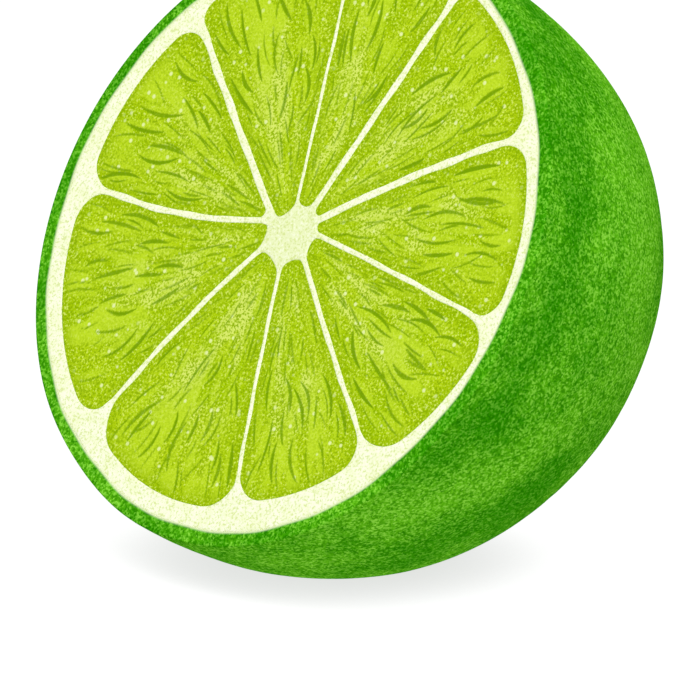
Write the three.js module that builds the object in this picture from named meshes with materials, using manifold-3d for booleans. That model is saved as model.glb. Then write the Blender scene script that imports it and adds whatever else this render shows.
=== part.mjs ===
// Half of a lime, cut across its middle and lying on its side with the cut face tipped up.
// Millimetres, +Z up. The half is shaped with its cut face level on z = 0 and its body below,
// then tipped over, and a small flat spot is taken off where it rests.
// In the level position the core is the centre, +X is right and +Y is up as one faces the cut.

import * as THREE from 'three';
import { mergeVertices } from 'three/addons/utils/BufferGeometryUtils.js';
import Module from 'manifold-3d';

// Driving dimensions of the whole half
const rimRadius = 24.95; // outer radius of the green skin at the cut
const bodyDepth = 27.9; // from the cut face down to the rounded end
const bodyFullness = 2.5; // exponent of the side outline, 2 would be an ellipse
const nippleHeight = 2.1; // blunt tip on the blossom end
const nippleRadius = 3.6;
const leanDirection = 81; // degrees, the way in which the body leans off its axis
const leanStart = -1.0; // sideways shift per full depth just under the cut
const leanEnd = 2.3; // and the part of it that grows with the square of the depth
const faceTip = 60.74; // degrees by which the cut face is turned up from level
const flatSpotDepth = 1.25; // height taken off underneath, where it rests

// The cut face
const pithRadius = 23.85; // outside of the white pith, inside of the green skin
const membraneLength = 21; // reach of a membrane's side shift and bow
const edgeStep = 0.35; // the pulp sits this far below the cut membranes
const crownStep = 0.12; // and this far below them away from its edges
const edgeRamp = 1.4; // width over which it rises between the two
const innerRound = 0.7; // corner radius of a segment at its point beside the core
const outerBow = 0.25; // the outside of a segment stands out in its middle
const vesicleRelief = 0.09; // height of the juice cells over the pulp
const vesiclesAcross = 3;
const vesiclesAlong = 3.5;

// Membranes between segments: angle in degrees, side shift at the core, bow and thickness
const membranes = [
  { angle: -7.1, shift: 0.85, bow: 0.15, width: 0.42 },
  { angle: 31.9, shift: 0.1, bow: 0.42, width: 0.62 },
  { angle: 70.4, shift: -0.3, bow: 0, width: 0.6 },
  { angle: 100.6, shift: 0.2, bow: 0, width: 0.3 },
  { angle: 140.1, shift: 0.95, bow: 0.1, width: 0.64 },
  { angle: 180.3, shift: -1.4, bow: 1.1, width: 0.5 },
  { angle: 234.6, shift: -0.9, bow: -0.65, width: 0.48 },
  { angle: 281.0, shift: -0.4, bow: -0.2, width: 0.36 },
  { angle: 316.0, shift: 0.5, bow: -0.2, width: 0.46 },
];

// Segments, each between its membrane and the next: radius of its outside, how much further
// it reaches at its far side, radius of its outer corners, and radius of its point
const segments = [
  { reach: 22.9, slant: -0.55, round: 2.05, point: 2.5 },
  { reach: 23.1, slant: 0.5, round: 1.65, point: 2.65 },
  { reach: 23.05, slant: 0.4, round: 1.6, point: 2.4 },
  { reach: 22.75, slant: 0.6, round: 1.6, point: 2.0 },
  { reach: 22.4, slant: -0.4, round: 1.95, point: 3.6 },
  { reach: 22.2, slant: 0.35, round: 2.55, point: 2.6 },
  { reach: 22.2, slant: 0, round: 2.8, point: 2.45 },
  { reach: 21.65, slant: 0, round: 2.2, point: 2.15 },
  { reach: 22.85, slant: 1.1, round: 2.8, point: 2.25 },
];

// Fineness of the facets
const stepsRound = 72;
const stepsDown = 22;
const crowdAtTip = 1.5; // rows down the body lie closer together towards its tip
const stepsAcross = 16;
const stepsAlong = 14;

const radians = THREE.MathUtils.degToRad;
const clamp = THREE.MathUtils.clamp;
const lerp = THREE.MathUtils.lerp;

// Body: a rounded outline turned about the axis, with each ring pushed sideways by the lean.
// Down the side, t from 0 to 1, radius = rimRadius cos^(2/n) and depth = bodyDepth sin^(2/n)
// of a quarter turn; the tip adds a bell-shaped rise around the axis.
function bodyPoint(t, angle) {
  const quarter = (t * Math.PI) / 2;
  const power = 2 / bodyFullness;
  const radius = t < 1 ? rimRadius * Math.cos(quarter) ** power : 0;
  const depth = bodyDepth * Math.sin(quarter) ** power;
  const tip = nippleHeight * Math.exp(-((radius / nippleRadius) ** 2));
  const down = depth / bodyDepth;
  const lean = leanStart * down + leanEnd * down * down;
  return new THREE.Vector3(
    radius * Math.cos(angle) + lean * Math.cos(radians(leanDirection)),
    radius * Math.sin(angle) + lean * Math.sin(radians(leanDirection)),
    -depth - tip,
  );
}

// Angle of a membrane's side at a distance from the core. Its middle line is its own ray,
// shifted sideways at the core and bowed in between; side is -1 or 1 for the half thickness.
function membraneAngle(membrane, distance, side) {
  const along = clamp(distance / membraneLength, 0, 1);
  const middle = membrane.shift * (1 - along) + membrane.bow * 4 * along * (1 - along);
  return radians(membrane.angle) + Math.asin((middle + (side * membrane.width) / 2) / distance);
}

// How far a rounded corner of the given radius cuts in, at a distance from the side
function cornerCut(distance, radius) {
  const inside = clamp(1 - distance / radius, 0, 1);
  return radius * (1 - Math.sqrt(1 - inside * inside));
}

// Sides of a segment at a distance from the core, as two angles
function segmentSides(index, distance) {
  const next = (index + 1) % membranes.length;
  const from = membraneAngle(membranes[index], distance, 1);
  let to = membraneAngle(membranes[next], distance, -1);
  if (to < from) to += 2 * Math.PI;
  return [from, to];
}

// A point of the pulp: across runs from one membrane to the next, along from core to ring.
// The pulp rises from its edges and carries staggered rows of juice cells.
function pulpPoint(index, across, along) {
  const { reach, slant, round, point } = segments[index];
  const fromSide = Math.min(across, 1 - across);
  const [pointFrom, pointTo] = segmentSides(index, point + innerRound);
  const pointWidth = (pointTo - pointFrom) * (point + innerRound);
  const pointRound = Math.min(innerRound, pointWidth / 2);
  const [outFrom, outTo] = segmentSides(index, reach - round);
  const outWidth = (outTo - outFrom) * (reach - round);

  const inner = point + cornerCut(fromSide * pointWidth, pointRound);
  const outside = reach + slant * (across - 0.5) - outerBow * (2 * across - 1) ** 2;
  const outer = outside - cornerCut(fromSide * outWidth, round);
  const distance = lerp(inner, outer, along);
  const [from, to] = segmentSides(index, distance);
  const angle = lerp(from, to, across);

  const fromEnd = Math.min(along, 1 - along) * (outer - inner);
  const fromEdge = Math.min(fromSide * (to - from) * distance, fromEnd);
  const rise = THREE.MathUtils.smoothstep(fromEdge, 0, edgeRamp);
  const row = Math.sin(2 * Math.PI * vesiclesAlong * along);
  const column = Math.cos(2 * Math.PI * vesiclesAcross * across + Math.PI * along * vesiclesAlong);
  const height = lerp(-edgeStep, -crownStep, rise) + vesicleRelief * rise * row * column;
  return new THREE.Vector3(distance * Math.cos(angle), distance * Math.sin(angle), height);
}

// Even steps from 0 to 1 that crowd towards both ends
function crowdedSteps(count) {
  return Array.from({ length: count + 1 }, (_, i) => 0.5 - 0.5 * Math.cos((Math.PI * i) / count));
}

// The triangles are gathered three points at a time
const corners = [];

function addTriangle(a, b, c) {
  corners.push(...a.toArray(), ...b.toArray(), ...c.toArray());
}

function addGrid(rows) {
  for (let i = 0; i + 1 < rows.length; i += 1) {
    for (let j = 0; j + 1 < rows[i].length; j += 1) {
      addTriangle(rows[i][j], rows[i + 1][j], rows[i + 1][j + 1]);
      addTriangle(rows[i][j], rows[i + 1][j + 1], rows[i][j + 1]);
    }
  }
}

// A closed ring of points all round the axis, its last point being its first again
function ring(pointAt) {
  const points = Array.from({ length: stepsRound }, (_, j) =>
    pointAt((2 * Math.PI * j) / stepsRound),
  );
  return [...points, points[0]];
}

// Green skin outside, closed to one point at the tip
function addBody() {
  const rows = [];
  for (let i = 0; i < stepsDown; i += 1) {
    const t = 1 - (1 - i / stepsDown) ** crowdAtTip;
    rows.push(ring((angle) => bodyPoint(t, angle)));
  }
  addGrid(rows);
  const last = rows[rows.length - 1];
  const tip = bodyPoint(1, 0);
  for (let j = 0; j < stepsRound; j += 1) addTriangle(last[j], tip, last[j + 1]);
}

// Cut edge of the skin, a flat ring between the rim and the pith
function addSkinRing() {
  const inside = ring(
    (angle) => new THREE.Vector3(pithRadius * Math.cos(angle), pithRadius * Math.sin(angle), 0),
  );
  const outside = ring((angle) => bodyPoint(0, angle));
  addGrid([inside, outside]);
  return inside.slice(0, stepsRound);
}

// Pulp of one segment and the low wall round it; returns its outline on the cut plane
function addSegment(index) {
  const across = crowdedSteps(stepsAcross);
  const along = crowdedSteps(stepsAlong);
  const rows = along.map((v) => across.map((u) => pulpPoint(index, u, v)));
  addGrid(rows.map((row) => [...row].reverse()).reverse());

  const inEnd = rows[0];
  const outEnd = rows[rows.length - 1];
  const border = [
    ...inEnd,
    ...rows.slice(1).map((row) => row[row.length - 1]),
    ...[...outEnd].reverse().slice(1),
    ...rows.slice(1, -1).map((row) => row[0]).reverse(),
  ];
  const raised = border.map((p) => new THREE.Vector3(p.x, p.y, 0));
  border.push(border[0]);
  addGrid([[...raised, raised[0]], border]);
  return raised;
}

// Pith ring, core and membranes: the flat cut surface left between the segments
function addPith(outline, holes) {
  const faces = THREE.ShapeUtils.triangulateShape(outline, holes);
  const points = [...outline, ...holes.flat()];
  for (const [a, b, c] of faces) addTriangle(points[a], points[b], points[c]);
}

addBody();
const pithOutline = addSkinRing();
const segmentOutlines = segments.map((_, index) => addSegment(index));
addPith(pithOutline, segmentOutlines);

// Solids for the cut that makes the flat spot
const wasm = await Module();
wasm.setup();

function solidFrom(geometry) {
  geometry.deleteAttribute('normal');
  geometry.deleteAttribute('uv');
  const merged = mergeVertices(geometry, 1e-4);
  return new wasm.Manifold(
    new wasm.Mesh({
      numProp: 3,
      vertProperties: new Float32Array(merged.attributes.position.array),
      triVerts: new Uint32Array(merged.index.array),
    }),
  );
}

const wholeGeometry = new THREE.BufferGeometry();
wholeGeometry.setAttribute('position', new THREE.Float32BufferAttribute(corners, 3));

// Where the tipped half would touch the table, and the box of what lies below the flat spot
const tip = new THREE.Matrix4().makeRotationX(radians(faceTip));
const tipped = wholeGeometry.clone().applyMatrix4(tip);
tipped.computeBoundingBox();
const tableHeight = tipped.boundingBox.min.z + flatSpotDepth;
const cutterSize = 4 * rimRadius;
const cutter = new THREE.BoxGeometry(cutterSize, cutterSize, cutterSize)
  .translate(0, 0, tableHeight - cutterSize / 2)
  .applyMatrix4(tip.clone().invert());
const cut = solidFrom(wholeGeometry).subtract(solidFrom(cutter)).getMesh();

// Zones of the one solid, each with its own colour
const zones = [
  new THREE.MeshStandardMaterial({ name: 'rind', color: 0x4ba114, roughness: 0.5, metalness: 0 }),
  new THREE.MeshStandardMaterial({ name: 'pith', color: 0xe7f0c0, roughness: 0.75, metalness: 0 }),
  new THREE.MeshStandardMaterial({ name: 'pulp', color: 0xaecb22, roughness: 0.35, metalness: 0 }),
];

// The skin is outside the pith's edge or below the pulp, the pith is what lies on the cut
// plane or stands upright beside the pulp, and the pulp is the rest
function zoneOf(a, b, c) {
  const middle = new THREE.Vector3().add(a).add(b).add(c).divideScalar(3);
  const facing = new THREE.Triangle(a, b, c).getNormal(new THREE.Vector3()).z;
  const chord = pithRadius * Math.cos(Math.PI / stepsRound);
  if (Math.hypot(middle.x, middle.y) > chord || middle.z < -2 * edgeStep) return 0;
  if (middle.z > -crownStep / 10 || facing < 0.5) return 1;
  return 2;
}

function zonedGeometry(mesh) {
  const vertices = [];
  for (let i = 0; i < mesh.numVert; i += 1) {
    vertices.push(new THREE.Vector3().fromArray(mesh.vertProperties, i * mesh.numProp));
  }
  const byZone = zones.map(() => []);
  for (let i = 0; i < mesh.triVerts.length; i += 3) {
    const face = [...mesh.triVerts.slice(i, i + 3)];
    byZone[zoneOf(...face.map((v) => vertices[v]))].push(...face);
  }
  const geometry = new THREE.BufferGeometry().setFromPoints(vertices);
  geometry.setIndex(byZone.flat());
  let start = 0;
  byZone.forEach((faces, zone) => {
    geometry.addGroup(start, faces.length, zone);
    start += faces.length;
  });
  geometry.computeVertexNormals();
  return geometry;
}

// The half in its resting place, with the middle of its box over the origin
const half = new THREE.Mesh(zonedGeometry(cut), zones);
half.name = 'lime_half';
half.rotation.x = radians(faceTip);
half.updateMatrixWorld();
const box = new THREE.Box3().setFromObject(half, true);
half.position.set(-(box.min.x + box.max.x) / 2, -(box.min.y + box.max.y) / 2, -tableHeight);

const lime = new THREE.Group();
lime.name = 'lime';
lime.add(half);

export default lime;
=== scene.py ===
import math
import bpy
import numpy as np
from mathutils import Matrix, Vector


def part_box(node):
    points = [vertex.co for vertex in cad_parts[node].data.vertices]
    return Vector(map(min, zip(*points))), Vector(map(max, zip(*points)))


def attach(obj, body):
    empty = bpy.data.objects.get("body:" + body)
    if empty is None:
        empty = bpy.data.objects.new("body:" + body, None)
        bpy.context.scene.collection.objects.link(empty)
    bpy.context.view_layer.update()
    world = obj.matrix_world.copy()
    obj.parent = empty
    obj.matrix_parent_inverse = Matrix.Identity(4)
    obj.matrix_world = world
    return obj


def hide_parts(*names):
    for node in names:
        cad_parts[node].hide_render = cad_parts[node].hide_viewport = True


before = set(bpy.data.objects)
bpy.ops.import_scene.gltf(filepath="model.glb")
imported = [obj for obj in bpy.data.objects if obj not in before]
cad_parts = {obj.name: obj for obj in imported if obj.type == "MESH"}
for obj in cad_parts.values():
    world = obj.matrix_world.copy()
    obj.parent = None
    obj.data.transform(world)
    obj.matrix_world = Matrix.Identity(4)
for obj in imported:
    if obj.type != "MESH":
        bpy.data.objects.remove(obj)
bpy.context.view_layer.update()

# The half lime, in millimetres with its cut face level on z = 0 and its body hanging below.
# The core is the centre, and one faces the cut with +X to the right and +Y up.
fruit = {
    "rimRadius": 24.95,      # outside of the green skin at the cut
    "bodyDepth": 27.9,
    "fullness": 2.5,         # exponent of the side outline, 2 is an ellipse
    "nippleHeight": 2.1,     # blunt tip on the blossom end
    "nippleRadius": 3.6,
    "leanDirection": 81,     # degrees
    "leanStart": -1.0,
    "leanEnd": 2.3,
    "faceTip": 60.74,        # degrees by which the cut face is turned up from level
    "pithRadius": 23.74,
    "membraneLength": 21,
    "outerBow": 0.25,        # the outside of a segment stands out in its middle
    "dent": 0.22,            # the rim is pressed in by this much beside the flat spot
    "dentAngle": -121,
    "dentSpread": 14,
    "wander": 0.045,         # of the membranes sideways
    "wanderRate": 1.1,       # radians of that wave in a millimetre
    "unevenWidth": 0.16,     # of the membranes, as a part of their thickness
    "unevenRate": 1.7,
    "groundBlend": 0.5,      # the flat spot's edge is rounded over this height
}

# Waves of the pith's edge: how many go round the cut, their height and their phase
pithWaves = [(5, 0.06, 0.6), (13, 0.05, 0), (29, 0.03, 0)]


def tableOf(names, *rows):
    # a list with one dictionary for each row, whose values go by these names
    return [dict(zip(names.split(), row)) for row in rows]


# Membranes: angle in degrees, side shift at the core, bow and thickness
membranes = tableOf(
    "angle shift bow width",
    (-7.1, 0.85, 0.15, 0.42),
    (31.9, 0.1, 0.42, 0.62),
    (70.4, -0.3, 0, 0.6),
    (100.6, 0.2, 0, 0.3),
    (140.1, 0.95, 0.1, 0.64),
    (180.3, -1.4, 1.1, 0.5),
    (234.6, -0.9, -0.65, 0.48),
    (281.0, -0.4, -0.2, 0.36),
    (316.0, 0.5, -0.2, 0.46),
)

# Segments, each from its membrane to the next: radius of the outside, how much further it
# reaches at its far side, radius of the outer corners, and radius of the inner point
segments = tableOf(
    "reach slant round point",
    (22.9, -0.55, 2.05, 2.5),
    (23.1, 0.5, 1.65, 2.65),
    (23.05, 0.4, 1.6, 2.4),
    (22.75, 0.6, 1.6, 2.0),
    (22.4, -0.4, 1.95, 3.6),
    (22.35, 0.1, 2.55, 2.6),
    (22.05, 0, 2.8, 2.45),
    (21.45, 0, 2.2, 2.15),
    (22.85, 1.1, 2.8, 2.25),
)


# Seat: the level shape is turned about X by the tip of the cut face and put where the rim's
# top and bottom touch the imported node's box

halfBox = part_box("lime_half")
tip = math.radians(fruit["faceTip"])
faceCentre = np.array([
    (halfBox[0][0] + halfBox[1][0]) / 2,
    halfBox[0][1] + fruit["rimRadius"] / 1000 * math.cos(tip),
    halfBox[1][2] - fruit["rimRadius"] / 1000 * math.sin(tip),
])


def seat(points):
    # millimetres on the level half to metres in the row's frame
    x, y, z = np.moveaxis(points / 1000, -1, 0)
    turned = np.stack([x, y * math.cos(tip) - z * math.sin(tip),
                       y * math.sin(tip) + z * math.cos(tip)], axis=-1)
    return turned + faceCentre


# Small tools for numbers on grids

def smoothStep(value, low, high):
    # 0 at low, 1 at high and 3p^2 - 2p^3 in between; low may be the larger one
    part = np.clip((value - low) / (high - low), 0, 1)
    return part * part * (3 - 2 * part)


def mix(a, b, part):
    # a at part 0 and b at part 1, for numbers, arrays and wires
    return a + (b - a) * part


def bell(off, width):
    # 1 in the middle and exp(-(off / width)^2) at a distance from it
    return np.exp(-(off / width) ** 2)


def fromAxis(points):
    # distance of each point from the fruit's axis
    return np.hypot(points[..., 0], points[..., 1])


def crowdedSteps(count):
    # from 0 to 1, closer together towards both ends
    return 0.5 - 0.5 * np.cos(np.pi * np.linspace(0, 1, count))


# Large odd numbers that scatter whole ones, and the bits that are kept
scatter = {"x": 374761393, "y": 668265263, "z": 1440662683, "seed": 974634777,
           "mixed": 1274126177, "lowBits": 0xFFFFFF}


def cellRandom(cells, seed):
    # a repeatable number from 0 to 1 for each cell of a whole-number lattice: the cell's place
    # and the seed, each times a large number, then folded on to its own high bits
    mixed = (cells[..., 0] * scatter["x"] + cells[..., 1] * scatter["y"]
             + cells[..., 2] * scatter["z"] + seed * scatter["seed"])
    mixed = (mixed ^ (mixed >> 13)) * scatter["mixed"]
    mixed = mixed ^ (mixed >> 16)
    return (mixed & scatter["lowBits"]) / scatter["lowBits"]


def clouds(points, pitch, seed):
    # random values at the corners of cubes of side pitch, blended smoothly in between
    scaled = points / pitch
    base = np.floor(scaled).astype(np.int64)
    part = scaled - base
    part = part * part * (3 - 2 * part)
    total = 0
    for corner in np.ndindex(2, 2, 2):
        weight = np.prod(np.where(corner, part, 1 - part), axis=-1)
        total = total + weight * cellRandom(base + np.array(corner), seed)
    return total


def unevenness(points, kind, seed):
    # the least value plus the spread times clouds of the given size
    size, least, spread = kind
    return least + spread * clouds(points, size, seed)


def nearestDot(points, pitch, seed):
    # distance to the nearest of a set of dots, one at a random place in each cube
    base = np.floor(points / pitch).astype(np.int64)
    nearest = np.full(points.shape[:-1], np.inf)
    for step in np.ndindex(3, 3, 3):
        cell = base + np.array(step) - 1
        dot = np.stack([cellRandom(cell, seed + axis) for axis in range(3)], axis=-1)
        away = np.linalg.norm((cell + dot) * pitch - points, axis=-1)
        nearest = np.minimum(nearest, away)
    return nearest


# Meshes

def addObject(name, data):
    # a new object in the scene, unturned at the origin
    made = bpy.data.objects.new(name, data)
    bpy.context.collection.objects.link(made)
    return made


def ringQuads(rows, columns):
    # faces of a grid whose last column joins its first: down a row, across a column and back
    row, column = np.meshgrid(np.arange(rows - 1), np.arange(columns), indexing="ij")
    across = (column + 1) % columns
    corners = [row * columns + column, (row + 1) * columns + column,
               (row + 1) * columns + across, row * columns + across]
    return np.stack([c.ravel() for c in corners], axis=-1)


def fan(ring, pole):
    # triangles from a closed ring of vertex numbers to one more vertex
    return np.stack([ring, np.roll(ring, -1), np.full_like(ring, pole)], axis=-1)


def closedGrid(rows, columns):
    # faces of a grid of rings, closed by one more vertex at its first ring and one at its last
    count = rows * columns
    ring = np.arange(columns)
    return [ringQuads(rows, columns), fan(ring, count), fan(count - 1 - ring, count + 1)]


def enclosed(points, faces):
    # volume inside the faces, the sum of a . (b x c) / 6, negative where they point inwards
    total = 0
    for face in faces:
        for second in range(1, face.shape[1] - 1):
            a, b, c = points[face[:, 0]], points[face[:, second]], points[face[:, second + 1]]
            total += np.einsum("ij,ij->", a, np.cross(b, c)) / 6
    return total


def addPiece(name, points, faces, marks, material):
    # points in metres; faces are arrays with three or four columns; marks go on the points
    if enclosed(points, faces) < 0:
        faces = [face[:, ::-1] for face in faces]
    mesh = bpy.data.meshes.new(name)
    mesh.vertices.add(len(points))
    mesh.vertices.foreach_set("co", points.astype(np.float32).ravel())
    sides = np.concatenate([np.full(len(face), face.shape[1]) for face in faces])
    mesh.loops.add(int(sides.sum()))
    mesh.loops.foreach_set("vertex_index", np.concatenate([face.ravel() for face in faces]))
    mesh.polygons.add(len(sides))
    mesh.polygons.foreach_set("loop_start", np.concatenate([[0], np.cumsum(sides)[:-1]]))
    mesh.update(calc_edges=True)
    mesh.shade_smooth()
    for mark, values in marks.items():
        layer = mesh.attributes.new(mark, "FLOAT", "POINT")
        layer.data.foreach_set("value", values.astype(np.float32).ravel())
    mesh.materials.append(material)
    piece = addObject(name, mesh)
    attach(piece, "root")
    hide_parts("lime_half")
    print("made", name, len(points), "points,", int((sides - 2).sum()), "triangles")
    return piece


# Shader maths

class Wire:
    # wraps a socket, so that a sum written in Python adds one Math node for each operator
    def __init__(self, tree, socket):
        self.tree = tree
        self.socket = socket

    def math(self, operation, *others):
        return self.tree.node("ShaderNodeMath", {"operation": operation}, [self, *others])

    def __add__(self, other):
        return self.math("ADD", other)

    def __mul__(self, other):
        return self.math("MULTIPLY", other)

    def __sub__(self, other):
        return self.math("SUBTRACT", other)

    def __rsub__(self, other):
        return self.tree.node("ShaderNodeMath", {"operation": "SUBTRACT"}, [other, self])

    __radd__ = __add__
    __rmul__ = __mul__

    def between(self, low, high):
        # 0 below low, 1 above high and smooth in between; low may be the larger one
        settings = {"interpolation_type": "SMOOTHSTEP"}
        if low < high:
            return self.tree.node("ShaderNodeMapRange", settings, [self, low, high])
        return 1 - self.tree.node("ShaderNodeMapRange", settings, [self, high, low])


class Nodes:
    # a node tree to which node() adds: type, settings, then socket values or links
    def __init__(self, tree):
        self.nodes = tree.nodes
        self.links = tree.links

    def put(self, socket, value):
        if isinstance(value, Wire):
            self.links.new(value.socket, socket)
        else:
            socket.default_value = value

    def node(self, kind, settings, values, output=0):
        made = self.nodes.new(kind)
        for key, value in settings.items():
            setattr(made, key, value)
        pairs = values.items() if isinstance(values, dict) else enumerate(values)
        for key, value in pairs:
            self.put(made.inputs[key], value)
        return Wire(self, made.outputs[output])


class Finish(Nodes):
    # a material with one Principled shader
    def __init__(self, name):
        self.material = bpy.data.materials.new(name)
        self.material.use_nodes = True
        super().__init__(self.material.node_tree)
        self.shader = self.nodes["Principled BSDF"]
        self.place = self.node("ShaderNodeTexCoord", {}, {}, "Object")

    def mark(self, name):
        return self.node("ShaderNodeAttribute", {"attribute_name": name}, {}, "Fac")

    def noise(self, size, detail=2, roughness=0.5):
        # grains of about the given size in millimetres, from 0 to 1
        values = {"Vector": self.place, "Scale": 1000 / size, "Detail": detail,
                  "Roughness": roughness}
        return self.node("ShaderNodeTexNoise", {}, values, "Fac")

    def speckles(self, size, output="Color"):
        # cells of the given size in millimetres: Color is a value from 0 to 1 of each cell's
        # own, and Distance runs up from its middle
        values = {"Vector": self.place, "Scale": 1000 / size, "Randomness": 1.0}
        return self.node("ShaderNodeTexVoronoi", {"feature": "F1"}, values, output)

    def ground(self, part, low, high):
        # the first colour: low where part is 0 and high where it is 1
        self.colour = paint(low)
        self.cover(part, high)

    def cover(self, part, code):
        # a colour over those before it, by part
        self.colour = self.node("ShaderNodeMix", {"data_type": "RGBA"},
                                {0: part, 6: self.colour, 7: paint(code)}, 2)

    def coat(self, layer, part, share=1):
        # the layer's colour by part, first taken between its levels where it has two, times its
        # strength and the share
        if layer["levels"]:
            part = part.between(*layer["levels"])
        self.cover(part * (share * layer["strength"]), layer["colour"])

    def bump(self, height, millimetres):
        values = {"Height": height, "Distance": millimetres / 1000, "Strength": 1.0}
        return self.node("ShaderNodeBump", {}, values)

    def done(self, **values):
        for key, value in values.items():
            self.put(self.shader.inputs[key.replace("_", " ")], value)
        return self.material

    def grained(self, grain, piece):
        # the finished material of a piece, with its grain raised a little
        return self.done(
            Base_Color=self.colour, Roughness=piece["roughness"],
            Specular_IOR_Level=piece["shine"], Normal=self.bump(grain, piece["grainBump"]))


def paint(code):
    # an sRGB colour such as "4BA114" as the linear values that sockets take
    parts = [int(code[i:i + 2], 16) / 255 for i in (0, 2, 4)]
    linear = [p / 12.92 if p <= 0.04045 else ((p + 0.055) / 1.055) ** 2.4 for p in parts]
    return (*linear, 1.0)


def tint(colour, strength, *levels):
    # a layer for coat(), with two levels where its mask is first taken between them
    return {"colour": colour, "strength": strength, "levels": levels}


# Shapes that the cut face's pieces share

def membraneAngle(membrane, distance, side):
    # ray of the membrane, shifted at the core and bowed in between, plus its half thickness,
    # both of which wander a little on the way
    along = np.clip(distance / fruit["membraneLength"], 0, 1)
    middle = membrane["shift"] * (1 - along) + membrane["bow"] * 4 * along * (1 - along)
    phase = membrane["angle"]
    wave = np.sin(fruit["wanderRate"] * distance + phase)
    middle = middle + fruit["wander"] * wave * along
    swell = np.sin(fruit["unevenRate"] * distance + 2 * phase)
    uneven = 1 + fruit["unevenWidth"] * swell * along
    half = side * uneven * membrane["width"] / 2
    return math.radians(membrane["angle"]) + np.arcsin((middle + half) / distance)


def cornerCut(distance, radius):
    # how far a rounded corner cuts in, at a distance from the side
    inside = np.clip(1 - distance / radius, 0, 1)
    return radius * (1 - np.sqrt(1 - inside * inside))


def segmentSides(index, distance):
    # rays of a segment's two sides, which are its membranes' faces, at a distance from the core
    start = membraneAngle(membranes[index], distance, 1)
    end = membraneAngle(membranes[(index + 1) % len(membranes)], distance, -1)
    return start, end + (2 * math.pi if index == len(membranes) - 1 else 0)


def segmentWidth(index, distance):
    # the angle between them times the distance
    start, end = segmentSides(index, np.array(float(distance)))
    return float(end - start) * distance


def segmentReach(index, across):
    # inner and outer radius of a segment at a part of the way across it
    segment = segments[index]
    fromSide = np.minimum(across, 1 - across)
    far = segment["reach"] - segment["round"]
    outside = segment["reach"] + segment["slant"] * (across - 0.5)
    outside = outside - fruit["outerBow"] * (2 * across - 1) ** 2
    outside = outside - cornerCut(fromSide * segmentWidth(index, far), segment["round"])

    # The inner end is a circle that touches both sides. With w the half width at the point
    # and a the slope of a side, its radius is w cos a / (1 - sin a), and each side passes its
    # centre at v = radius / cos a. At the part s from the middle to a side the circle lies y
    # before its centre: y^2 + s^2 (v - y tan a)^2 = radius^2.
    near = segment["point"]
    halfWidth = segmentWidth(index, near) / 2
    slope = (segmentWidth(index, near + 1) - segmentWidth(index, near)) / 2
    turn = math.atan(slope)
    radius = halfWidth * math.cos(turn) / (1 - math.sin(turn))
    wide = radius / math.cos(turn)
    part = (2 * across - 1) ** 2
    middle = part * wide * slope
    square = middle ** 2 - (1 + part * slope ** 2) * (part * wide ** 2 - radius ** 2)
    before = (middle + np.sqrt(np.maximum(square, 0))) / (1 + part * slope ** 2)
    return near + radius - before, outside


def pressFlat(height):
    # heights below the ground come up to it, blended by (z + r)^2 / 4r where |z| < r
    blend = fruit["groundBlend"] / 1000
    rounded = (height + blend) ** 2 / (4 * blend)
    return np.where(height < -blend, 0, np.where(height < blend, rounded, height))


def offAngle(angle, middle):
    # degrees from the middle, between -180 and 180
    return (np.degrees(angle) - middle + 180) % 360 - 180


def rimDent(angle):
    # how far the rim is pressed in, fading like a bell with the angle from the dent
    return fruit["dent"] * bell(offAngle(angle, fruit["dentAngle"]), fruit["dentSpread"])


def pithEdge(angle):
    # outside of the pith, a circle with a few waves on it, pressed in where the rim is
    wander = sum(height * np.sin(count * angle + phase) for count, height, phase in pithWaves)
    return fruit["pithRadius"] + wander - rimDent(angle)


# Rind: the green skin, closed below the pith by a shallow recess

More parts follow.
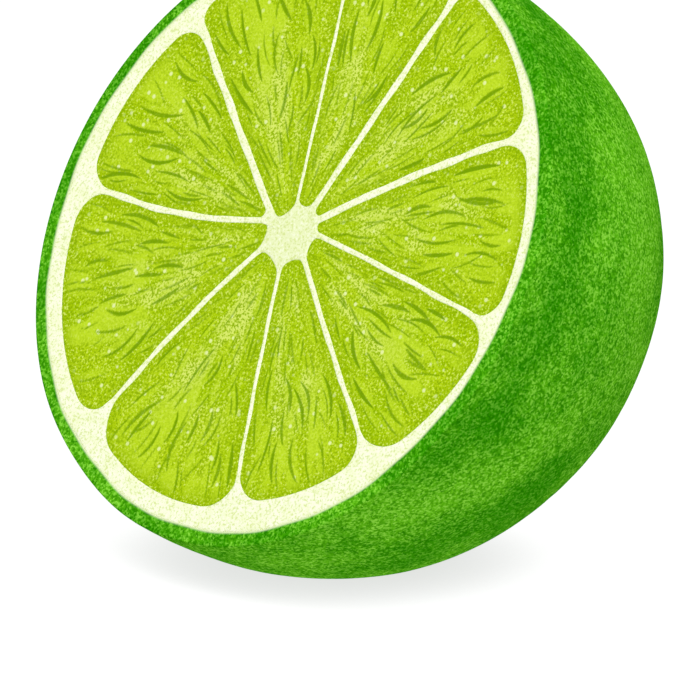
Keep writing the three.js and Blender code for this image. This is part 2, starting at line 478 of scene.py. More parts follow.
rind = {
    "columns": 480,
    "rows": 176,
    "outlineSteps": 4000,    # points along which the outline is measured
    "edgeRings": 13,         # across the cut edge, closer together towards the pith
    "edgeCrowding": 1.4,
    "rimRings": 5,
    "rimRound": 0.16,        # the cut edge is rounded over by this much
    "recess": 1.2,
    "blurred": 0.22,         # the pith fades into the green over this much
    "pitPitch": 1.15,        # oil glands, one in each cube of this side
    "pitRadius": 0.34,
    "pitDepth": 0.055,
    "swellPitch": 6.0,       # broad uneven swelling of the skin
    "swellDepth": 0.12,
    "swellLevel": 0.4,       # clouds above it go inwards and those below it outwards
    "swellStart": (1, 6),    # it sets in between these depths
    "shoulder": 0.26,        # one side is a little fuller
    "shoulderAngle": -8,
    "shoulderSpread": 60,
    "shoulderStart": (4, 11),
    "shoulderEnd": (27, 20),
    "tipDepth": 20,          # folds, furrow and scar lie below this
    "wrinkles": 11,          # folds round the tip
    "wrinkleDepth": 0.16,
    "wrinkleRadius": 3.8,
    "wrinkleWidth": 1.9,
    "wrinkleSway": (2.5, 0.5),  # clouds' size and the sway in radians
    "furrowDepth": 0.3,      # a shallow furrow round the foot of the tip
    "furrowRadius": 6.4,
    "furrowWidth": 1.5,
    "furrowUneven": (4, 0.6, 0.8),  # clouds' size, least part and how much more
    "scarDepth": 0.18,
    "scarRadius": 1.75,
    "scarUneven": (0.9, 0.75, 0.5),
    "scarMiddle": 0.7,       # part of its radius within which it is at its deepest
    "streakDots": 16,        # a streak is measured from this many dots for each of its points
    "patches": [(4.5, 0.9), (2.0, 0.5), (11, 0.8)],  # clouds' size and tone
    "mottling": [(2.2, 2, 1.2), (0.7, 1, 1.7)],  # noise's size, detail and tone
    # painted highlight on the tip, fading out between the radii below
    "tipPaintedShading": 0.7,
    "tipToneRadii": (4, 1),
    "rimTone": -0.25,
    "toneGain": 0.47,        # from the tone to the part of bright green
    "toneMiddle": 0.53,
    "deepGreen": "319400",
    "brightGreen": "68C218",
    "grainSize": 0.28,
    "speckleSize": 0.16,
    "speckleShare": 0.38,
    "darkGrain": {"colour": "217800", "levels": (0.52, 0.36), "onDeep": 0.85, "onBright": 0.55},
    "lightGrain": {"colour": "98E44C", "levels": (0.5, 0.66), "onDeep": 0.28, "onBright": 0.83},
    "gland": tint("2A8405", 0.28),
    "pithSide": tint("E6EFC0", 0.95),
    "scar": tint("6A5A2E", 1),
    "scarGrain": 0.4,
    "roughness": 0.7,
    "shine": 0,
    "grainBump": 0.008,
}

# Painted light and shade on the skin: lighter streaks are painted light and darker ones painted
# shade, among them a painted shadow band just below the rim. For each, angle in degrees and
# depth of its points, its width in millimetres, and its tone
paintedShadingStreaks = [
    {"path": [(312, 3.5), (322, 6), (335, 10), (350, 13.5), (15, 15), (45, 16)],
     "width": 2.6, "tone": 0.7},
    {"path": [(60, 11), (95, 9), (130, 11), (160, 15), (195, 12), (235, 10)],
     "width": 3.2, "tone": 0.8},
    {"path": [(330, 3), (0, 3.6), (25, 4.2), (60, 4.5), (120, 3.5), (180, 4), (240, 3.5)],
     "width": 2.3, "tone": -0.6},
    {"path": [(300, 11), (318, 12.5), (333, 15)], "width": 2.0, "tone": -0.5},
    {"path": [(70, 21), (120, 22), (170, 21), (220, 20)], "width": 3.2, "tone": -0.7},
]


def bodyPoint(t, angle):
    # radius = rimRadius cos^(2/n) and depth = bodyDepth sin^(2/n) of a quarter turn times t,
    # with a bell-shaped tip on the axis and each ring pushed sideways by the lean
    power = 2 / fruit["fullness"]
    radius = (fruit["rimRadius"] - rimDent(angle)) * np.cos(np.clip(t, 0, 1) * np.pi / 2) ** power
    depth = fruit["bodyDepth"] * np.sin(t * np.pi / 2) ** power
    nipple = fruit["nippleHeight"] * bell(radius, fruit["nippleRadius"])
    down = depth / fruit["bodyDepth"]
    lean = fruit["leanStart"] * down + fruit["leanEnd"] * down * down
    direction = math.radians(fruit["leanDirection"])
    return np.stack([radius * np.cos(angle) + lean * math.cos(direction),
                     radius * np.sin(angle) + lean * math.sin(direction),
                     -depth - nipple + 0 * angle], axis=-1)


def evenRows(start, count):
    # values of t at even distances down the body's outline
    dense = start + (1 - start) * crowdedSteps(rind["outlineSteps"])
    outline = bodyPoint(dense, 0 * dense)
    length = np.concatenate([[0], np.cumsum(np.linalg.norm(np.diff(outline, axis=0), axis=1))])
    return np.interp(np.linspace(0, length[-1], count), length, dense)


def outwardNormals(points):
    # of a grid that closes round its columns, from the two directions along it
    along = np.gradient(points, axis=0)
    around = np.roll(points, -1, axis=1) - np.roll(points, 1, axis=1)
    normal = np.cross(around, along)
    return -normal / np.maximum(np.linalg.norm(normal, axis=-1, keepdims=True), 1e-9)


def streakTone(points):
    # sum of the streaks of painted light and shade, each fading like a bell with the distance from
    # its path
    tone = np.zeros(points.shape[:-1])
    for streak in paintedShadingStreaks:
        path = np.array(streak["path"], dtype=float)
        angles = np.unwrap(np.radians(path[:, 0]))
        steps = np.linspace(0, len(path) - 1, rind["streakDots"] * len(path))
        stations = np.arange(len(path))
        depth = np.interp(steps, stations, path[:, 1]) / fruit["bodyDepth"]
        t = np.arcsin(depth ** (fruit["fullness"] / 2)) * 2 / np.pi
        line = bodyPoint(t, np.interp(steps, stations, angles))
        away = np.min([np.linalg.norm(points - dot, axis=-1) for dot in line], axis=0)
        tone = tone + streak["tone"] * bell(away, streak["width"])
    return tone


def tipMarks(outside, angle):
    # Strengths of the folds, furrow and scar at the blossom end, and the painted light and shade
    # that go with them: a painted highlight on the tip and painted shade in the folds and the
    # furrow. The folds are waves round the axis and the furrow is a ring, and both fade like a
    # bell with the distance from their radius.
    radius = fromAxis(outside)
    atTip = outside[..., 2] < -rind["tipDepth"]
    size, sway = rind["wrinkleSway"]
    ragged = angle + sway * (clouds(outside, size, seed=31) - 0.5)
    folds = (0.5 + 0.5 * np.cos(rind["wrinkles"] * ragged)) * atTip
    folds = folds * bell(radius - rind["wrinkleRadius"], rind["wrinkleWidth"])
    furrow = bell(radius - rind["furrowRadius"], rind["furrowWidth"]) * atTip
    furrow = furrow * unevenness(outside, rind["furrowUneven"], seed=32)
    scarEdge = rind["scarRadius"] * unevenness(outside, rind["scarUneven"], seed=33)
    scar = smoothStep(radius / scarEdge, 1, rind["scarMiddle"]) * atTip
    # painted highlight on the tip, painted shade in the folds and the furrow
    tone = rind["tipPaintedShading"] * smoothStep(radius, *rind["tipToneRadii"]) * atTip - folds - furrow
    return folds, furrow, scar, tone


def rimRings(angle, edge):
    # the cut edge of the skin, from the recess up and out to the rounded rim
    rounding = rind["rimRound"]
    rim = fruit["rimRadius"] - rimDent(angle) - rounding
    parts = np.linspace(0, 1, rind["edgeRings"]) ** rind["edgeCrowding"]
    quarter = np.linspace(0, np.pi / 2, rind["rimRings"])[1:-1]
    profile = [(edge, -rind["recess"])]
    profile += [(mix(edge, rim, part), 0.0) for part in parts]
    profile += [(rim + rounding * np.sin(q), rounding * (np.cos(q) - 1)) for q in quarter]
    return np.array([np.stack([r * np.cos(angle), r * np.sin(angle), h + 0 * angle], axis=-1)
                     for r, h in profile])


def makeRind(material):
    # the body's outline turned round the axis, pressed in along its normals by glands, folds,
    # furrow and scar, moved both ways by the swelling and let out by the shoulder
    angle = np.linspace(0, 2 * np.pi, rind["columns"], endpoint=False)
    startDepth = rind["rimRound"] / fruit["bodyDepth"]
    start = 2 / np.pi * math.asin(startDepth ** (fruit["fullness"] / 2))
    t = evenRows(start, rind["rows"])[:-1]
    outside = bodyPoint(t[:, None], angle[None, :])
    depth = -outside[..., 2]

    pit = bell(nearestDot(outside, rind["pitPitch"], seed=3), rind["pitRadius"])
    swell = clouds(outside, rind["swellPitch"], seed=8) - rind["swellLevel"]
    swell = swell * smoothStep(depth, *rind["swellStart"])
    folds, furrow, scar, tipPaintedShading = tipMarks(outside, angle)
    inward = (rind["pitDepth"] * pit + rind["swellDepth"] * swell
              + rind["wrinkleDepth"] * folds + rind["furrowDepth"] * furrow
              + rind["scarDepth"] * scar)
    off = offAngle(angle, rind["shoulderAngle"])
    inward = inward - (rind["shoulder"] * bell(off, rind["shoulderSpread"])
                       * smoothStep(depth, *rind["shoulderStart"])
                       * smoothStep(depth, *rind["shoulderEnd"]))
    outside = outside - outwardNormals(outside) * inward[..., None]

    edge = pithEdge(angle)
    top = rimRings(angle, edge)
    grid = np.concatenate([top, outside])
    floorPoint = np.array([[0, 0, -rind["recess"]]])
    tipPoint = bodyPoint(np.array([1.0]), np.array([0.0])) + [0, 0, rind["scarDepth"]]
    points = seat(np.concatenate([grid.reshape(-1, 3), floorPoint, tipPoint]))
    points[:, 2] = pressFlat(points[:, 2])

    inner = smoothStep(fromAxis(grid) - edge, rind["blurred"], 0)
    inner = inner * (grid[..., 2] > -rind["recess"] / 2)
    inner[0] = 1
    # the tone: painted light and shade from the streaks and round the tip, random patches, and a
    # darker cut edge
    tone = streakTone(grid)
    for number, (size, strength) in enumerate(rind["patches"]):
        tone = tone + strength * (clouds(grid, size, seed=21 + number) - 0.5)
    tone[len(top):] += tipPaintedShading
    tone[:len(top)] += rind["rimTone"]
    unmarked = np.zeros(top.shape[:2])
    marks = {
        "inner": np.append(inner, [1, 0]),
        "pit": np.append(np.concatenate([unmarked, pit]), [0, 0]),
        "tone": np.append(tone, [0, 0]),
        "scar": np.append(np.concatenate([unmarked, scar]), [0, 1]),
    }
    return addPiece("rind", points, closedGrid(*grid.shape[:2]), marks, material)


def rindFinish():
    # deep to bright green by tone, which holds painted light and shade as well as random patches,
    # then dark and light grain, glands, pith's edge and scar
    skin = Finish("green skin")
    tone = skin.mark("tone")
    for size, detail, strength in rind["mottling"]:
        tone = tone + (skin.noise(size, detail) - 0.5) * strength
    grain = mix(skin.noise(rind["grainSize"], roughness=0.6), skin.speckles(rind["speckleSize"]),
                rind["speckleShare"])
    lightness = (tone * rind["toneGain"] + rind["toneMiddle"]).between(0, 1)
    skin.ground(lightness, rind["deepGreen"], rind["brightGreen"])
    for kind in (rind["darkGrain"], rind["lightGrain"]):
        strength = mix(kind["onDeep"], kind["onBright"], lightness)
        skin.cover(grain.between(*kind["levels"]) * strength, kind["colour"])
    skin.coat(rind["gland"], skin.mark("pit"))
    skin.coat(rind["pithSide"], skin.mark("inner"))
    skin.coat(rind["scar"], skin.mark("scar"), 1 - grain * rind["scarGrain"])
    return skin.grained(grain, rind)


# Pith: ring, membranes and core on the cut plane, with a pocket for each segment

pith = {
    "edgeDrop": 0.05,        # the membranes' edges are rounded by this much
    "pocket": 0.8,
    "thickness": 1.15,
    "wallRun": 0.006,        # slope of a pocket's wall, as a part of the way across
    "interiorColumns": 40,
    "interiorRows": 84,
    "halfColumns": (0, 0.45, 0.75, 0.92, 1),  # parts from a membrane's middle to its side
    "coreRows": (0.12, 0.3, 0.45, 0.6, 0.74, 0.85, 0.92, 0.97, 1),  # from the centre outwards
    "ringRows": (0, 0.02, 0.05, 0.1, 0.18, 0.3, 0.44, 0.58, 0.72, 0.85, 0.94, 1),
    "halfFade": 6,           # exponents by which the rounding fades away from a pocket
    "coreFade": 24,
    "ringFade": 12,
    "overlap": 0.05,         # it goes this far under the skin's edge, so that no gap shows
    "tuck": 0.04,            # and its rim lies this much lower there
    "unevenness": 0.035,
    "unevenSizes": (0.9, 0.35),
    "unevenEnd": (23.8, 22.5),
    "skinwardRadii": (23.5, 23.95),
    "corewardRadii": (4.2, 2.2),
    "cream": "F8FCDE",
    "deepCream": "F2F8CE",
    "creamSize": 1.2,
    "creamLevels": (0.35, 0.65),
    "grainSize": 0.2,
    "coreSide": tint("E0ECAC", 0.6),
    "darkGrain": tint("CFDF86", 0.75, 0.5, 0.36),
    "lightGrain": tint("FBFEEC", 0.6, 0.56, 0.68),
    "skinSide": tint("D2E2A4", 0.35),
    "pocketSide": tint("A8C814", 1, 0, 0.04),
    "roughness": 0.85,
    "shine": 0,
    "grainBump": 0.015,
}


def stripAngles(index, distance, halves, inside):
    # rays of a strip's columns: half of one membrane, the segment and half of the next
    count = len(halves)
    after = (index + 1) % len(membranes)
    start, end = segmentSides(index, distance[:, count:count + len(inside)])
    low = membraneAngle(membranes[index], distance[:, :count], halves)
    high = membraneAngle(membranes[after], distance[:, count + len(inside):], -halves[:0:-1])
    turn = 2 * math.pi if after == 0 else 0
    return np.concatenate([low, mix(start, end, inside), high + turn], axis=1)


def pithStrip(index):
    # One strip from the centre to the skin, between the middles of two membranes: distance,
    # angle, height, and 1 where it is a pocket's floor. The core's rows lead up to the inner
    # ends of the pockets and the ring's rows from their outer ends to the skin. Beside a
    # pocket it lies edgeDrop below the cut plane, and it comes up to the plane away from one.
    run = pith["wallRun"]
    halves = np.array(pith["halfColumns"])
    inside = mix(run, 1 - run, crowdedSteps(pith["interiorColumns"]))
    alongRows = mix(run, 1 - run, crowdedSteps(pith["interiorRows"]))
    coreRows, ringRows = np.array(pith["coreRows"]), np.array(pith["ringRows"])
    count = len(membranes)

    inner, outer = segmentReach(index, inside)
    ends = [np.array(segmentReach(other % count, np.array([0.0, 1.0])))[:, side]
            for other, side in ((index - 1, 1), (index, 0), (index, 1), (index + 1, 0))]
    lower = mix((ends[0] + ends[1])[:, None] / 2, ends[1][:, None], halves)
    upper = mix((ends[2] + ends[3])[:, None] / 2, ends[2][:, None], halves[:0:-1])
    inner = np.concatenate([lower[0], inner, upper[0]])
    outer = np.concatenate([lower[1], outer, upper[1]])

    distance = mix(inner, outer, np.concatenate([[0], alongRows, [1]])[:, None])
    angle = stripAngles(index, distance, halves, inside)
    core = coreRows[:-1, None] * inner
    ring = mix(outer, pithEdge(angle[-1]) + pith["overlap"], ringRows[1:, None])
    angle = np.concatenate([np.tile(angle[0], (len(core), 1)), angle,
                            np.tile(angle[-1], (len(ring), 1))])
    distance = np.concatenate([core, distance, ring])

    columnEdge = np.concatenate([halves ** pith["halfFade"], np.ones(len(inside)),
                                 halves[:0:-1] ** pith["halfFade"]])
    rowEdge = np.concatenate([coreRows ** pith["coreFade"], np.ones(len(alongRows)),
                              (1 - ringRows) ** pith["ringFade"]])
    height = -pith["edgeDrop"] * rowEdge[:, None] * columnEdge
    height[-1] -= pith["tuck"]
    pocket = np.zeros(height.shape)
    pocket[len(coreRows):-len(ringRows), len(halves):len(halves) + len(inside)] = 1
    height = np.where(pocket > 0, -pith["pocket"], height)
    return np.stack([distance, angle, height, pocket], axis=-1)


def makePith(material):
    # the strips side by side round the core, roughened by clouds of two sizes, then a wall
    # down from the rim and a flat underside
    strips = [pithStrip(index) for index in range(len(membranes))]
    distance, angle, height, pocket = np.moveaxis(np.concatenate(strips, axis=1), -1, 0)
    grid = np.stack([distance * np.cos(angle), distance * np.sin(angle), height], axis=-1)
    broad, fine = pith["unevenSizes"]
    uneven = (clouds(grid, broad, seed=5) * pith["unevenness"]
              + clouds(grid, fine, seed=6) * pith["unevenness"] / 2)
    grid[..., 2] -= np.where(pocket > 0, 0, uneven) * smoothStep(distance, *pith["unevenEnd"])
    wall = grid[-1].copy()
    wall[:, 2] = -pith["thickness"]
    grid = np.concatenate([grid, wall[None]])

    poles = np.array([[0, 0, 0], [0, 0, -pith["thickness"]]])
    points = seat(np.concatenate([grid.reshape(-1, 3), poles]))
    flatDistance = fromAxis(grid).ravel()
    marks = {
        "skinward": np.append(smoothStep(flatDistance, *pith["skinwardRadii"]), [0, 0]),
        "coreward": np.append(smoothStep(flatDistance, *pith["corewardRadii"]), [1, 1]),
        "pocket": np.append(pocket.ravel(), np.zeros(len(points) - pocket.size)),
    }
    return addPiece("pith", points, closedGrid(*grid.shape[:2]), marks, material)


def pithFinish():
    # two creams in broad patches, then grain, and tints by the core, the skin and the pockets
    spongy = Finish("cream pith")
    grain = spongy.noise(pith["grainSize"], roughness=0.6)
    patches = spongy.noise(pith["creamSize"]).between(*pith["creamLevels"])
    spongy.ground(patches, pith["cream"], pith["deepCream"])
    spongy.coat(pith["coreSide"], spongy.mark("coreward"))
    spongy.coat(pith["darkGrain"], grain)
    spongy.coat(pith["lightGrain"], grain)
    spongy.coat(pith["skinSide"], spongy.mark("skinward"))
    spongy.coat(pith["pocketSide"], spongy.mark("pocket"))
    return spongy.grained(grain, pith)


# Pulp: nine segments of juice cells

pulp = {
    "columns": 205,
    "rows": 235,
    "rowCrowding": 0.5,
    "edgeStep": 0.065,       # the pulp's edge lies this far below the membranes
    "crownStep": 0.03,
    "edgeRamp": 0.9,
    "bottom": 0.72,
    "grooveDepth": 0.035,
    "cellRelief": 0.06,
    "cellShare": 0.6,        # of that relief, and the fibres have the rest
    "patternRadius": 14,     # widths across the rays hold at this distance from the core
    "patternApart": 9,       # each segment reads the clouds this much further up
    "fibreSize": (0.32, 2.4),  # across the rays and along them
    "cellSize": (0.95, 2.6),  # paler cells between the lines
    "cellLevels": (0.48, 0.62),
    "cellStart": (0.35, 0.6),  # parts of the way from core to ring
    "milkyClouds": [(1.1, 2.6, 0.7), (0.4, 1.0, 0.3)],  # the same and their share
    "milkyLevels": (0.3, 0.75),
    "milkyStart": (0.04, 0.2),
    "milkyEnd": (0.9, 0.45),
    "middleFade": (0.46, 0.1),  # parts of a segment's width off its middle
    "clearEdge": (0.1, 0.7),  # lines fade out towards the edge
    "edgeFade": (1.6, 0),
    "tries": 5,              # of these lines the one furthest from the others is drawn
    "farEnough": 3,          # wider gaps than this count alike
    "sideMargin": (0.05, 0.95),
    "sideSpread": 0.22,      # within about this part of the middle a line bows either way
    "splay": 0.25,           # radians by which lines open out from side to side
    "tracePoints": 5,        # gaps are measured between these points of each line
    "bowMean": 0.66,
    "taper": 0.7,
    "softEdge": 0.05,
    "softTip": 0.06,
    # the lighter cell beside a line is a painted highlight
    "paintedHighlight": 0.2,             # width of the lighter cell beside a line, as a part of its length
    "leafEdge": (1, 0.75),
    "leafStart": (0, 0.08),
    "leafCover": 0.5,        # a lighter cell covers this much of one drawn before it
    "leafShare": 0.8,
    "juice": "A5C800",
    "paleJuice": "B0CF0C",
    "juiceSize": 2.6,
    "juiceLevels": (0.35, 0.65),
    "grainSize": 0.19,
    "fibre": tint("BBD62C", 0.4, 0.5, 1),
    # paler cells at random, and the painted highlight beside each dark line
    "cell": tint("BEDC28", 0.85),
    "edge": tint("96B800", 0.55),
    "milky": tint("C6DC50", 0.35),
    "cellCalm": 0.65,        # light cells have this much less grain
    "milkyGrain": 0.13,      # and milky places more light grain
    "darkGrain": tint("7EA200", 0.75, 0.5, 0.4),
    "lightGrain": tint("D8E870", 0.85, 0.57, 0.66),
    "speckSize": 0.9,
    "speckLevels": (0.24, 0.12),
    "speckChoice": (0.45, 0.5),
    # painted glints on the juice cells
    "paintedGlint": tint("E5F0A8", 0.85),
    # the dark lines: painted shade in the grooves between juice cells
    "line": tint("729B00", 0.95),
    "roughness": 0.5,
    "shine": 0.02,
    "grainBump": 0.015,
}

# Dark lines between the juice cells, painted shade in the grooves there: how many in a square
# centimetre, and the range of their length, widest width, bow and place from core to ring
cellLines = [
    {"density": 8, "length": (2.4, 5.0), "width": (0.22, 0.38), "bow": (0.02, 0.15),
     "place": (0.42, 0.88), "strength": (0.85, 1.0), "swing": 0.19},
    {"density": 12, "length": (1.8, 4.2), "width": (0.11, 0.22), "bow": (0.02, 0.1),
     "place": (0.34, 0.93), "strength": (0.7, 0.95), "swing": 0.2},
    {"density": 11, "length": (1.6, 3.6), "width": (0.13, 0.25), "bow": (0.0, 0.06),
     "place": (0.06, 0.5), "strength": (0.45, 0.85), "swing": 0.07},
]


def pulpGrid(index):
    # across runs from one membrane to the next and along from the core to the ring
    across = crowdedSteps(pulp["columns"])[None, :]
    evenly = np.linspace(0, 1, pulp["rows"])
    along = mix(evenly, crowdedSteps(pulp["rows"]), pulp["rowCrowding"])[:, None]
    inner, outer = segmentReach(index, across)
    distance = mix(inner, outer, along)
    start, end = segmentSides(index, distance)
    angle = mix(start, end, across)
    fromSide = np.minimum(across, 1 - across) * (end - start) * distance
    fromEdge = np.minimum(fromSide, np.minimum(along, 1 - along) * (outer - inner))
    flat = np.stack([distance * np.cos(angle), distance * np.sin(angle)], axis=-1)
    return flat, across + 0 * along, along + 0 * across, distance, fromEdge


def chooseLine(index, kind, draw, place):
    # one line: its middle, heading and sizes, and a few points along it
    across, along = place
    near, far = segmentReach(index, np.array([across]))
    distance = mix(near, far, along)
    first, second = segmentSides(index, distance)
    ray = float(mix(first, second, across)[0])
    side = math.copysign(1, across - 0.5 + draw.normal(0, pulp["sideSpread"]))
    heading = ray + draw.normal(0, kind["swing"]) + (across - 0.5) * pulp["splay"]
    length = draw.uniform(*kind["length"])
    line = {
        "middle": float(distance[0]) * np.array([math.cos(ray), math.sin(ray)]),
        "forward": np.array([math.cos(heading), math.sin(heading)]),
        "length": length, "width": draw.uniform(*kind["width"]), "side": side,
        "bow": draw.uniform(*kind["bow"]) * length * side,
        "strength": draw.uniform(*kind["strength"]),
    }
    steps = np.linspace(-0.5, 0.5, pulp["tracePoints"])[:, None] * length
    line["trace"] = line["middle"] + steps * line["forward"]
    return line


def chooseLines(index, seed):
    # each new line is the one of several tries that lies furthest from those before it
    draw = np.random.default_rng(seed)
    inner, outer = segmentReach(index, np.array([0.5]))
    start, end = segmentSides(index, (inner + outer) / 2)
    area = float((end - start)[0] * (outer[0] ** 2 - inner[0] ** 2) / 2) / 100
    chosen = []
    for kind in cellLines:
        low, high = kind["place"]
        for number in range(int(kind["density"] * area)):
            tries = []
            for attempt in range(pulp["tries"]):
                along = math.sqrt(draw.uniform(low ** 2, high ** 2))
                across = draw.uniform(*pulp["sideMargin"])
                line = chooseLine(index, kind, draw, (across, along))
                gaps = [np.linalg.norm(line["trace"][:, None] - other["trace"], axis=-1).min()
                        for other in chosen]
                tries.append((min([pulp["farEnough"], *gaps]), attempt, line))
            chosen.append(max(tries)[2])
    return chosen


def drawLines(index, flat, seed):
    # Each line is painted shade in a groove between juice cells, and runs outwards. At the part s
    # of its length it lies bow (4 s (1 - s) - bowMean) to the side, and its width is the widest
    # times sin(pi s)^taper. The cell on its hollow side is a little lighter, a painted highlight.
    dark = np.zeros(flat.shape[:2])
    light = np.zeros(flat.shape[:2])
    for line in chooseLines(index, seed):
        forward, length, bow = line["forward"], line["length"], line["bow"]
        sideways = np.array([-forward[1], forward[0]])
        part = (flat - line["middle"]) @ forward / length + 0.5
        arc = np.clip(part, 0, 1)
        off = (flat - line["middle"]) @ sideways - bow * 4 * arc * (1 - arc)
        off = off + bow * pulp["bowMean"]
        strength = np.where((part > 0) & (part < 1), line["strength"], 0)
        swell = np.sin(np.pi * arc) ** pulp["taper"]
        half = line["width"] * swell / 2 + 1e-6
        soft = pulp["softEdge"]
        ink = smoothStep(np.abs(off) - half, soft, -soft) * smoothStep(half, 0, pulp["softTip"])
        dark = np.maximum(dark, ink * strength)
        hollow = -line["side"] * off
        leafWidth = pulp["paintedHighlight"] * length * swell + 1e-6
        paintedHighlight = smoothStep(hollow / leafWidth, *pulp["leafEdge"])
        paintedHighlight = paintedHighlight * smoothStep(hollow, *pulp["leafStart"]) * strength
        light = np.maximum(light * (1 - pulp["leafCover"] * paintedHighlight), paintedHighlight)
    return dark, light * (1 - dark)


def drawnOut(place, size, seed):
    # clouds of the given width across the rays and length along them
    return clouds(place / [*size, 1], 1, seed)


def makeSegment(index, material):
    # the top rises from the edge to the crown and sinks in at lines, cells and fibres, and a
    # wall goes straight down from its border to a flat underside
    flat, across, along, distance, fromEdge = pulpGrid(index)
    dark, light = drawLines(index, flat, seed=40 + index)
    inwards = smoothStep(fromEdge, *pulp["clearEdge"])
    dark = dark * inwards

    # fibres, cells and milky clouds are noise drawn out along the rays from the core
    sideways = np.arctan2(flat[..., 1], flat[..., 0]) * pulp["patternRadius"]
    sideways = (sideways - sideways[:, :1]) % (2 * pulp["patternRadius"] * np.pi)
    place = np.stack([sideways, distance, 0 * across + pulp["patternApart"] * index], axis=-1)
    fibre = drawnOut(place, pulp["fibreSize"], seed=11)
    cells = drawnOut(place, pulp["cellSize"], seed=12)
    milky = sum(drawnOut(place, size, seed=13 + number) * share
                for number, (*size, share) in enumerate(pulp["milkyClouds"]))
    middle = smoothStep(np.abs(across - 0.5), *pulp["middleFade"])
    milky = smoothStep(milky, *pulp["milkyLevels"]) * middle
    milky = milky * smoothStep(along, *pulp["milkyStart"]) * smoothStep(along, *pulp["milkyEnd"])
    pale = smoothStep(cells, *pulp["cellLevels"]) * smoothStep(along, *pulp["cellStart"]) * middle
    # the painted highlight beside each line and paler cells at random, kept off the edge and the
    # lines
    light = np.maximum(light * pulp["leafShare"], pale) * inwards * (1 - dark)
    rise = smoothStep(fromEdge, 0, pulp["edgeRamp"])
    height = mix(-pulp["edgeStep"], -pulp["crownStep"], rise)
    relief = pulp["cellShare"] * (1 - cells) + (1 - pulp["cellShare"]) * (1 - fibre)
    height = height - rise * pulp["cellRelief"] * relief - pulp["grooveDepth"] * dark
    top = np.concatenate([flat, height[..., None]], axis=-1)

    rows, columns = height.shape
    number = np.arange(rows * columns).reshape(rows, columns)
    quads = np.stack([number[:-1, :-1], number[1:, :-1], number[1:, 1:], number[:-1, 1:]],
                     axis=-1).reshape(-1, 4)
    border = np.concatenate([number[0, :-1], number[:-1, -1], number[-1, :0:-1], number[:0:-1, 0]])
    below = top.reshape(-1, 3)[border].copy()
    below[:, 2] = -pulp["bottom"]
    under = rows * columns + np.arange(len(border))
    nextBorder, nextUnder = np.roll(border, -1), np.roll(under, -1)
    wall = np.stack([border, nextBorder, nextUnder, under], axis=-1)
    middle = below.mean(axis=0, keepdims=True)
    points = np.concatenate([top.reshape(-1, 3), below, middle])
    faces = [quads, wall, fan(under, len(points) - 1)]

    spare = np.zeros(len(border) + 1)
    marks = {name: np.append(values.ravel(), spare) for name, values in
             {"dark": dark, "light": light, "fibre": fibre, "milky": milky}.items()}
    marks["edge"] = np.append(smoothStep(fromEdge, *pulp["edgeFade"]).ravel(), spare + 1)
    return addPiece("pulp_%d" % (index + 1), seat(points), faces, marks, material)


def pulpFinish():
    # two greens in broad patches, then fibres, paler cells with painted highlights, edges and
    # milky places, grain, a painted glint in about half of the noise's cells, and the dark lines
    # of painted shade over all
    juicy = Finish("juice cells")
    # dark is painted shade in the grooves; light is a painted highlight beside each line and paler
    # cells
    dark, light = juicy.mark("dark"), juicy.mark("light")
    edge, milky = juicy.mark("edge"), juicy.mark("milky")
    patches = juicy.noise(pulp["juiceSize"]).between(*pulp["juiceLevels"])
    grain = juicy.noise(pulp["grainSize"], roughness=0.6)
    juicy.ground(patches, pulp["juice"], pulp["paleJuice"])
    juicy.coat(pulp["fibre"], juicy.mark("fibre"))
    juicy.coat(pulp["cell"], light)
    juicy.coat(pulp["edge"], edge)
    juicy.coat(pulp["milky"], milky)
    calm = 1 - light * pulp["cellCalm"]
    juicy.coat(pulp["darkGrain"], grain, calm)
    juicy.coat(pulp["lightGrain"], grain + milky * pulp["milkyGrain"], calm)
    away = juicy.speckles(pulp["speckSize"], "Distance")
    choice = juicy.speckles(pulp["speckSize"], "Color").between(*pulp["speckChoice"])
    # painted glints: pale specks in about half of the noise's cells, kept off the edges
    paintedGlint = away.between(*pulp["speckLevels"]) * choice * (1 - edge)
    juicy.coat(pulp["paintedGlint"], paintedGlint, 1 - dark)
    # the dark lines, painted shade in the grooves, over all
    juicy.coat(pulp["line"], dark)
    return juicy.grained(grain, pulp)


# Camera, floor and light

studio = {
    "azimuth": 45.1,         # degrees, 0 looks along +Y
    "elevation": 15.0,
    "lens": 1500.0,
    "sensor": 36.0,
    "frameWidth": 0.0532,    # metres across the picture at the cut's centre
    "right": 0.004487,       # the picture's centre, from the cut's centre
    "down": 0.008774,
    "clip": (0.05, 20),      # parts of the camera's distance
    "floorSize": 6.0,
    "floorShade": 0.08,      # what the floor gives back of the light on it
    "floorGlow": 0.745,      # what it gives of its own, in the deepest shade
    "floorOpen": 0.27,       # and how much more where nothing stands near
    "shadeEnd": 0.62,
    "shadeReach": 0.0085,
    "shadeSamples": 16,
    "aboveStrength": 0.6,
    "belowNear": 1.0,        # from below, on the camera's side of the lime
    "belowFar": 0.25,        # and on the other side
    "sideBlend": 0.7,
    "levelBlend": 0.05,
    "horizonStrength": 1.0,  # a narrow band, so that the floor meets a white background
    "horizonHeight": -0.08,
    "horizonEdge": (0.12, 0.09),
    "keyPower": 12.3,
    "keySize": 1.1,
    "keyPlace": (0.5, -0.45, 1.25),
}


def makeCamera():
    # as far off as the lens needs for the frame's width at the cut's centre
    azimuth, elevation = math.radians(studio["azimuth"]), math.radians(studio["elevation"])
    back = Vector((math.sin(azimuth) * math.cos(elevation),
                   -math.cos(azimuth) * math.cos(elevation), math.sin(elevation)))
    turn = (-back).to_track_quat("-Z", "Y")
    data = bpy.data.cameras.new("camera")
    data.lens, data.sensor_width = studio["lens"], studio["sensor"]
    distance = studio["frameWidth"] * studio["lens"] / studio["sensor"]
    data.clip_start, data.clip_end = [distance * part for part in studio["clip"]]
    camera = addObject("camera", data)
    target = Vector(faceCentre) + turn @ Vector((studio["right"], -studio["down"], 0))
    camera.location = target + back * distance
    camera.rotation_mode = "QUATERNION"
    camera.rotation_quaternion = turn
    bpy.context.scene.camera = camera


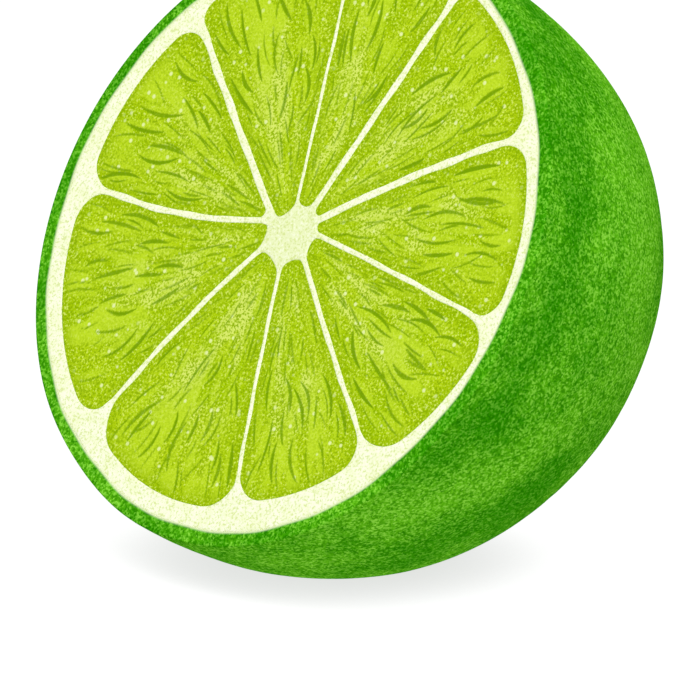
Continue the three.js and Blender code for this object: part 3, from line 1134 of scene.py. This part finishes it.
def makeFloor():
    # a square on the ground that glows, and glows less where the lime stands near: a painted
    # shadow over the faint real one of its diffuse part
    pale = Finish("pale floor")
    half = studio["floorSize"] / 2
    mesh = bpy.data.meshes.new("floor")
    mesh.from_pydata([(-half, -half, 0), (half, -half, 0), (half, half, 0), (-half, half, 0)],
                     [], [(0, 1, 2, 3)])
    openness = pale.node("ShaderNodeAmbientOcclusion", {"samples": studio["shadeSamples"]},
                         {"Distance": studio["shadeReach"]}, "AO")
    shade = studio["floorShade"]
    mesh.materials.append(pale.done(
        Base_Color=(shade, shade, shade, 1), Roughness=0.9, Specular_IOR_Level=0.0,
        Emission_Color=paint("FFFFFF"),
        Emission_Strength=(openness.between(0, studio["shadeEnd"]) * studio["floorOpen"]
                           + studio["floorGlow"])))
    floor = addObject("floor", mesh)
    # the light from below comes from the world, through it
    floor.visible_diffuse = False
    floor.visible_shadow = False


def makeLight():
    # a white world, with one strength above, one below that passes from near to far, and one
    # in a band at the horizon, and a soft disk of light from above
    world = bpy.data.worlds.new("studio")
    world.use_nodes = True
    background = world.node_tree.nodes["Background"]
    background.inputs["Color"].default_value = (1, 1, 1, 1)
    sky = Nodes(world.node_tree)
    direction = sky.node("ShaderNodeTexCoord", {}, {}, "Generated")
    across, along, height = [sky.node("ShaderNodeSeparateXYZ", {}, [direction], axis)
                             for axis in "XYZ"]
    near = (across - along).between(-studio["sideBlend"], studio["sideBlend"])
    below = mix(studio["belowFar"], studio["belowNear"], near)
    isAbove = height.between(-studio["levelBlend"], studio["levelBlend"])
    strength = mix(below, studio["aboveStrength"], isAbove)
    fromHorizon = (height - studio["horizonHeight"]).math("ABSOLUTE")
    atHorizon = fromHorizon.between(*studio["horizonEdge"])
    strength = mix(strength, studio["horizonStrength"], atHorizon)
    sky.put(background.inputs["Strength"], strength)
    bpy.context.scene.world = world
    data = bpy.data.lights.new("softbox", "AREA")
    data.shape, data.size, data.energy = "DISK", studio["keySize"], studio["keyPower"]
    light = addObject("softbox", data)
    light.location = Vector(studio["keyPlace"])
    light.rotation_mode = "QUATERNION"
    light.rotation_quaternion = light.location.to_track_quat("Z", "Y")
    bpy.context.scene.view_settings.view_transform = "Standard"


print("stage: camera, floor and light")
makeCamera()
makeFloor()
makeLight()

print("stage: rind")
makeRind(rindFinish())

print("stage: pith")
makePith(pithFinish())

print("stage: pulp")
juice = pulpFinish()
for index in range(len(segments)):
    makeSegment(index, juice)

print("stage: finish")
